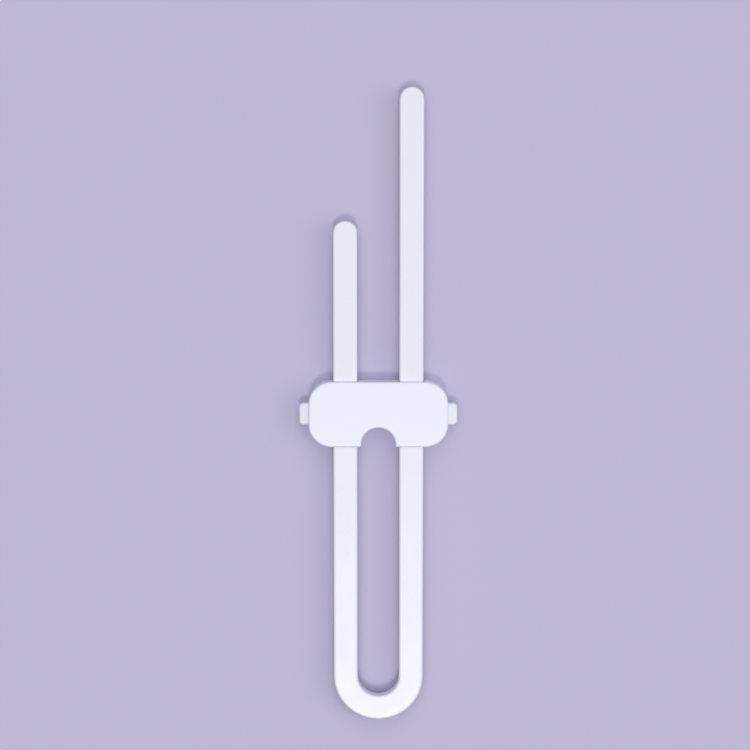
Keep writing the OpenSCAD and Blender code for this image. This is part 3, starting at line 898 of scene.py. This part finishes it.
def matt_floor():
    """The floor's plain matt finish, with a faintly cloudy tone."""
    made, tree, shader, place = new_material("floor")
    cloud = spread(tree, noise(tree, place, FLOOR_CLOUD_SIZE, MIDDLING, 0.0))
    two_tone(tree, shader, cloud, FLOOR_COLOUR, FLOOR_SHADE)
    shader.inputs["Roughness"].default_value = FLOOR_ROUGHNESS
    shader.inputs["Specular IOR Level"].default_value = 0.0
    return made


def make_lock():
    """All pieces of the lock, each with its finish."""
    bar_white = plastic("bar_white", colour=(0.84, 0.83, 0.925), shade=(0.815, 0.808, 0.91),
                        roughness=0.31, hair_along="Y", shift=1.0)
    catch_white = plastic("catch_white", colour=(0.845, 0.86, 0.97), shade=(0.825, 0.84, 0.955),
                          roughness=0.29, hair_along="X", shift=2.0)
    button_white = plastic("button_white", colour=(0.805, 0.81, 0.905), shade=(0.78, 0.785, 0.89),
                           roughness=0.32, hair_along="Y", shift=3.0)
    spring_steel = steel("spring_steel", colour=(0.55, 0.55, 0.54), shade=(0.42, 0.42, 0.43),
                         roughness=0.3, shift=4.0)
    screw_steel = steel("screw_steel", colour=(0.68, 0.68, 0.66), shade=(0.56, 0.56, 0.55),
                        roughness=0.3, shift=5.0)
    make_bar(bar_white)
    make_front(catch_white)
    make_back(catch_white)
    sides = (("right", 1), ("left", -1))
    for word, side in sides:
        make_button(word + "_button_moulding", word + "_button", side, button_white)
    for word, side in sides:
        make_spring(word + "_coil_spring", word + "_spring", side, spring_steel)
    make_screws(screw_steel)


# Camera, as in the photograph

FRAME_PX = 750
# Distance to the lock in pixels of the photograph, from its perspective
DISTANCE_PX = 2126
# Size in metres of a pixel at the middle of the picture
PIXEL = 0.4531 * MM
TILT = math.radians(7.2)
# The point of the lock that the middle of the picture shows
TARGET = Vector((-1.5, 15.53, 9.0)) * MM
SENSOR_MM = 36.0
# What the camera sees, in metres from it
NEAREST = 0.01
FARTHEST = 100.0


def add_camera():
    data = bpy.data.cameras.new("camera")
    data.sensor_width = SENSOR_MM
    data.lens = SENSOR_MM * DISTANCE_PX / FRAME_PX
    data.clip_start = NEAREST
    data.clip_end = FARTHEST
    camera = bpy.data.objects.new("camera", data)
    bpy.context.scene.collection.objects.link(camera)
    away = Vector((0.0, math.sin(TILT), math.cos(TILT)))
    camera.location = TARGET + away * DISTANCE_PX * PIXEL
    camera.rotation_euler = (-TILT, 0.0, 0.0)
    bpy.context.scene.camera = camera


# Studio

# Radius of the floor in metres
FLOOR_RADIUS = 40.0
WHITE_LIGHT = (1.0, 1.0, 1.0)
COOL_LIGHT = (0.93, 0.955, 1.0)
WARM_LIGHT = (1.0, 0.98, 0.92)
# Each lamp, far off: its turn from the +X side, its height above the floor and its apparent width, all in
# degrees, its strength and its colour
LAMPS = {
    "overhead": (90, 86, 60, 0.86, COOL_LIGHT),
    "near_bend": (-88, 70, 10, 0.61, WARM_LIGHT),
    "left": (180, 38, 40, 0.17, WHITE_LIGHT),
    "right": (0, 38, 40, 0.64, WHITE_LIGHT),
    "far": (90, 38, 40, 0.50, WHITE_LIGHT)}
SURROUND_LIGHT = 0.245
SURROUND_COLOUR = (0.508, 0.475, 0.648)


def add_floor():
    """A plain pale floor, much larger than the view."""
    mesh = bmesh.new()
    mesh.faces.new([mesh.verts.new((x, y, 0)) for x, y in circle(0, 0, FLOOR_RADIUS)])
    floor = new_object("floor", mesh)
    floor.data.materials.append(matt_floor())


def add_lamp(name, turn, height, width, strength, colour):
    """A soft lamp, far enough off to light the floor evenly."""
    lamp = bpy.data.lights.new(name, "SUN")
    lamp.angle = math.radians(width)
    lamp.energy = strength
    lamp.color = colour
    sun = bpy.data.objects.new(name, lamp)
    up, across = math.sin(math.radians(height)), math.cos(math.radians(height))
    sun.location = (across * math.cos(math.radians(turn)), across * math.sin(math.radians(turn)), up)
    sun.rotation_euler = (-sun.location).to_track_quat("-Z", "Y").to_euler()
    bpy.context.scene.collection.objects.link(sun)


def add_surround():
    """Even light from all round, which the camera, metal and glass see as a pale backdrop."""
    world = bpy.data.worlds.new("studio")
    world.use_nodes = True
    tree = world.node_tree
    light = tree.nodes["Background"]
    light.inputs["Color"].default_value = (*COOL_LIGHT, 1)
    light.inputs["Strength"].default_value = SURROUND_LIGHT
    backdrop = node(tree, "ShaderNodeBackground", {"Color": (*SURROUND_COLOUR, 1), "Strength": 1.0})
    path = node(tree, "ShaderNodeLightPath")
    seen = path.outputs["Is Camera Ray"]
    for kind in ("Is Glossy Ray", "Is Transmission Ray"):
        either = node(tree, "ShaderNodeMath", {0: seen, 1: path.outputs[kind]}, operation="MAXIMUM")
        seen = either.outputs["Value"]
    chosen = node(tree, "ShaderNodeMixShader", {0: seen, 1: light.outputs["Background"],
                                                2: backdrop.outputs["Background"]})
    tree.links.new(chosen.outputs["Shader"], tree.nodes["World Output"].inputs["Surface"])
    bpy.context.scene.world = world


make_lock()
bpy.context.scene.view_settings.view_transform = "Standard"
add_camera()
add_floor()
add_surround()
for lamp_name, settings in LAMPS.items():
    add_lamp(lamp_name, *settings)
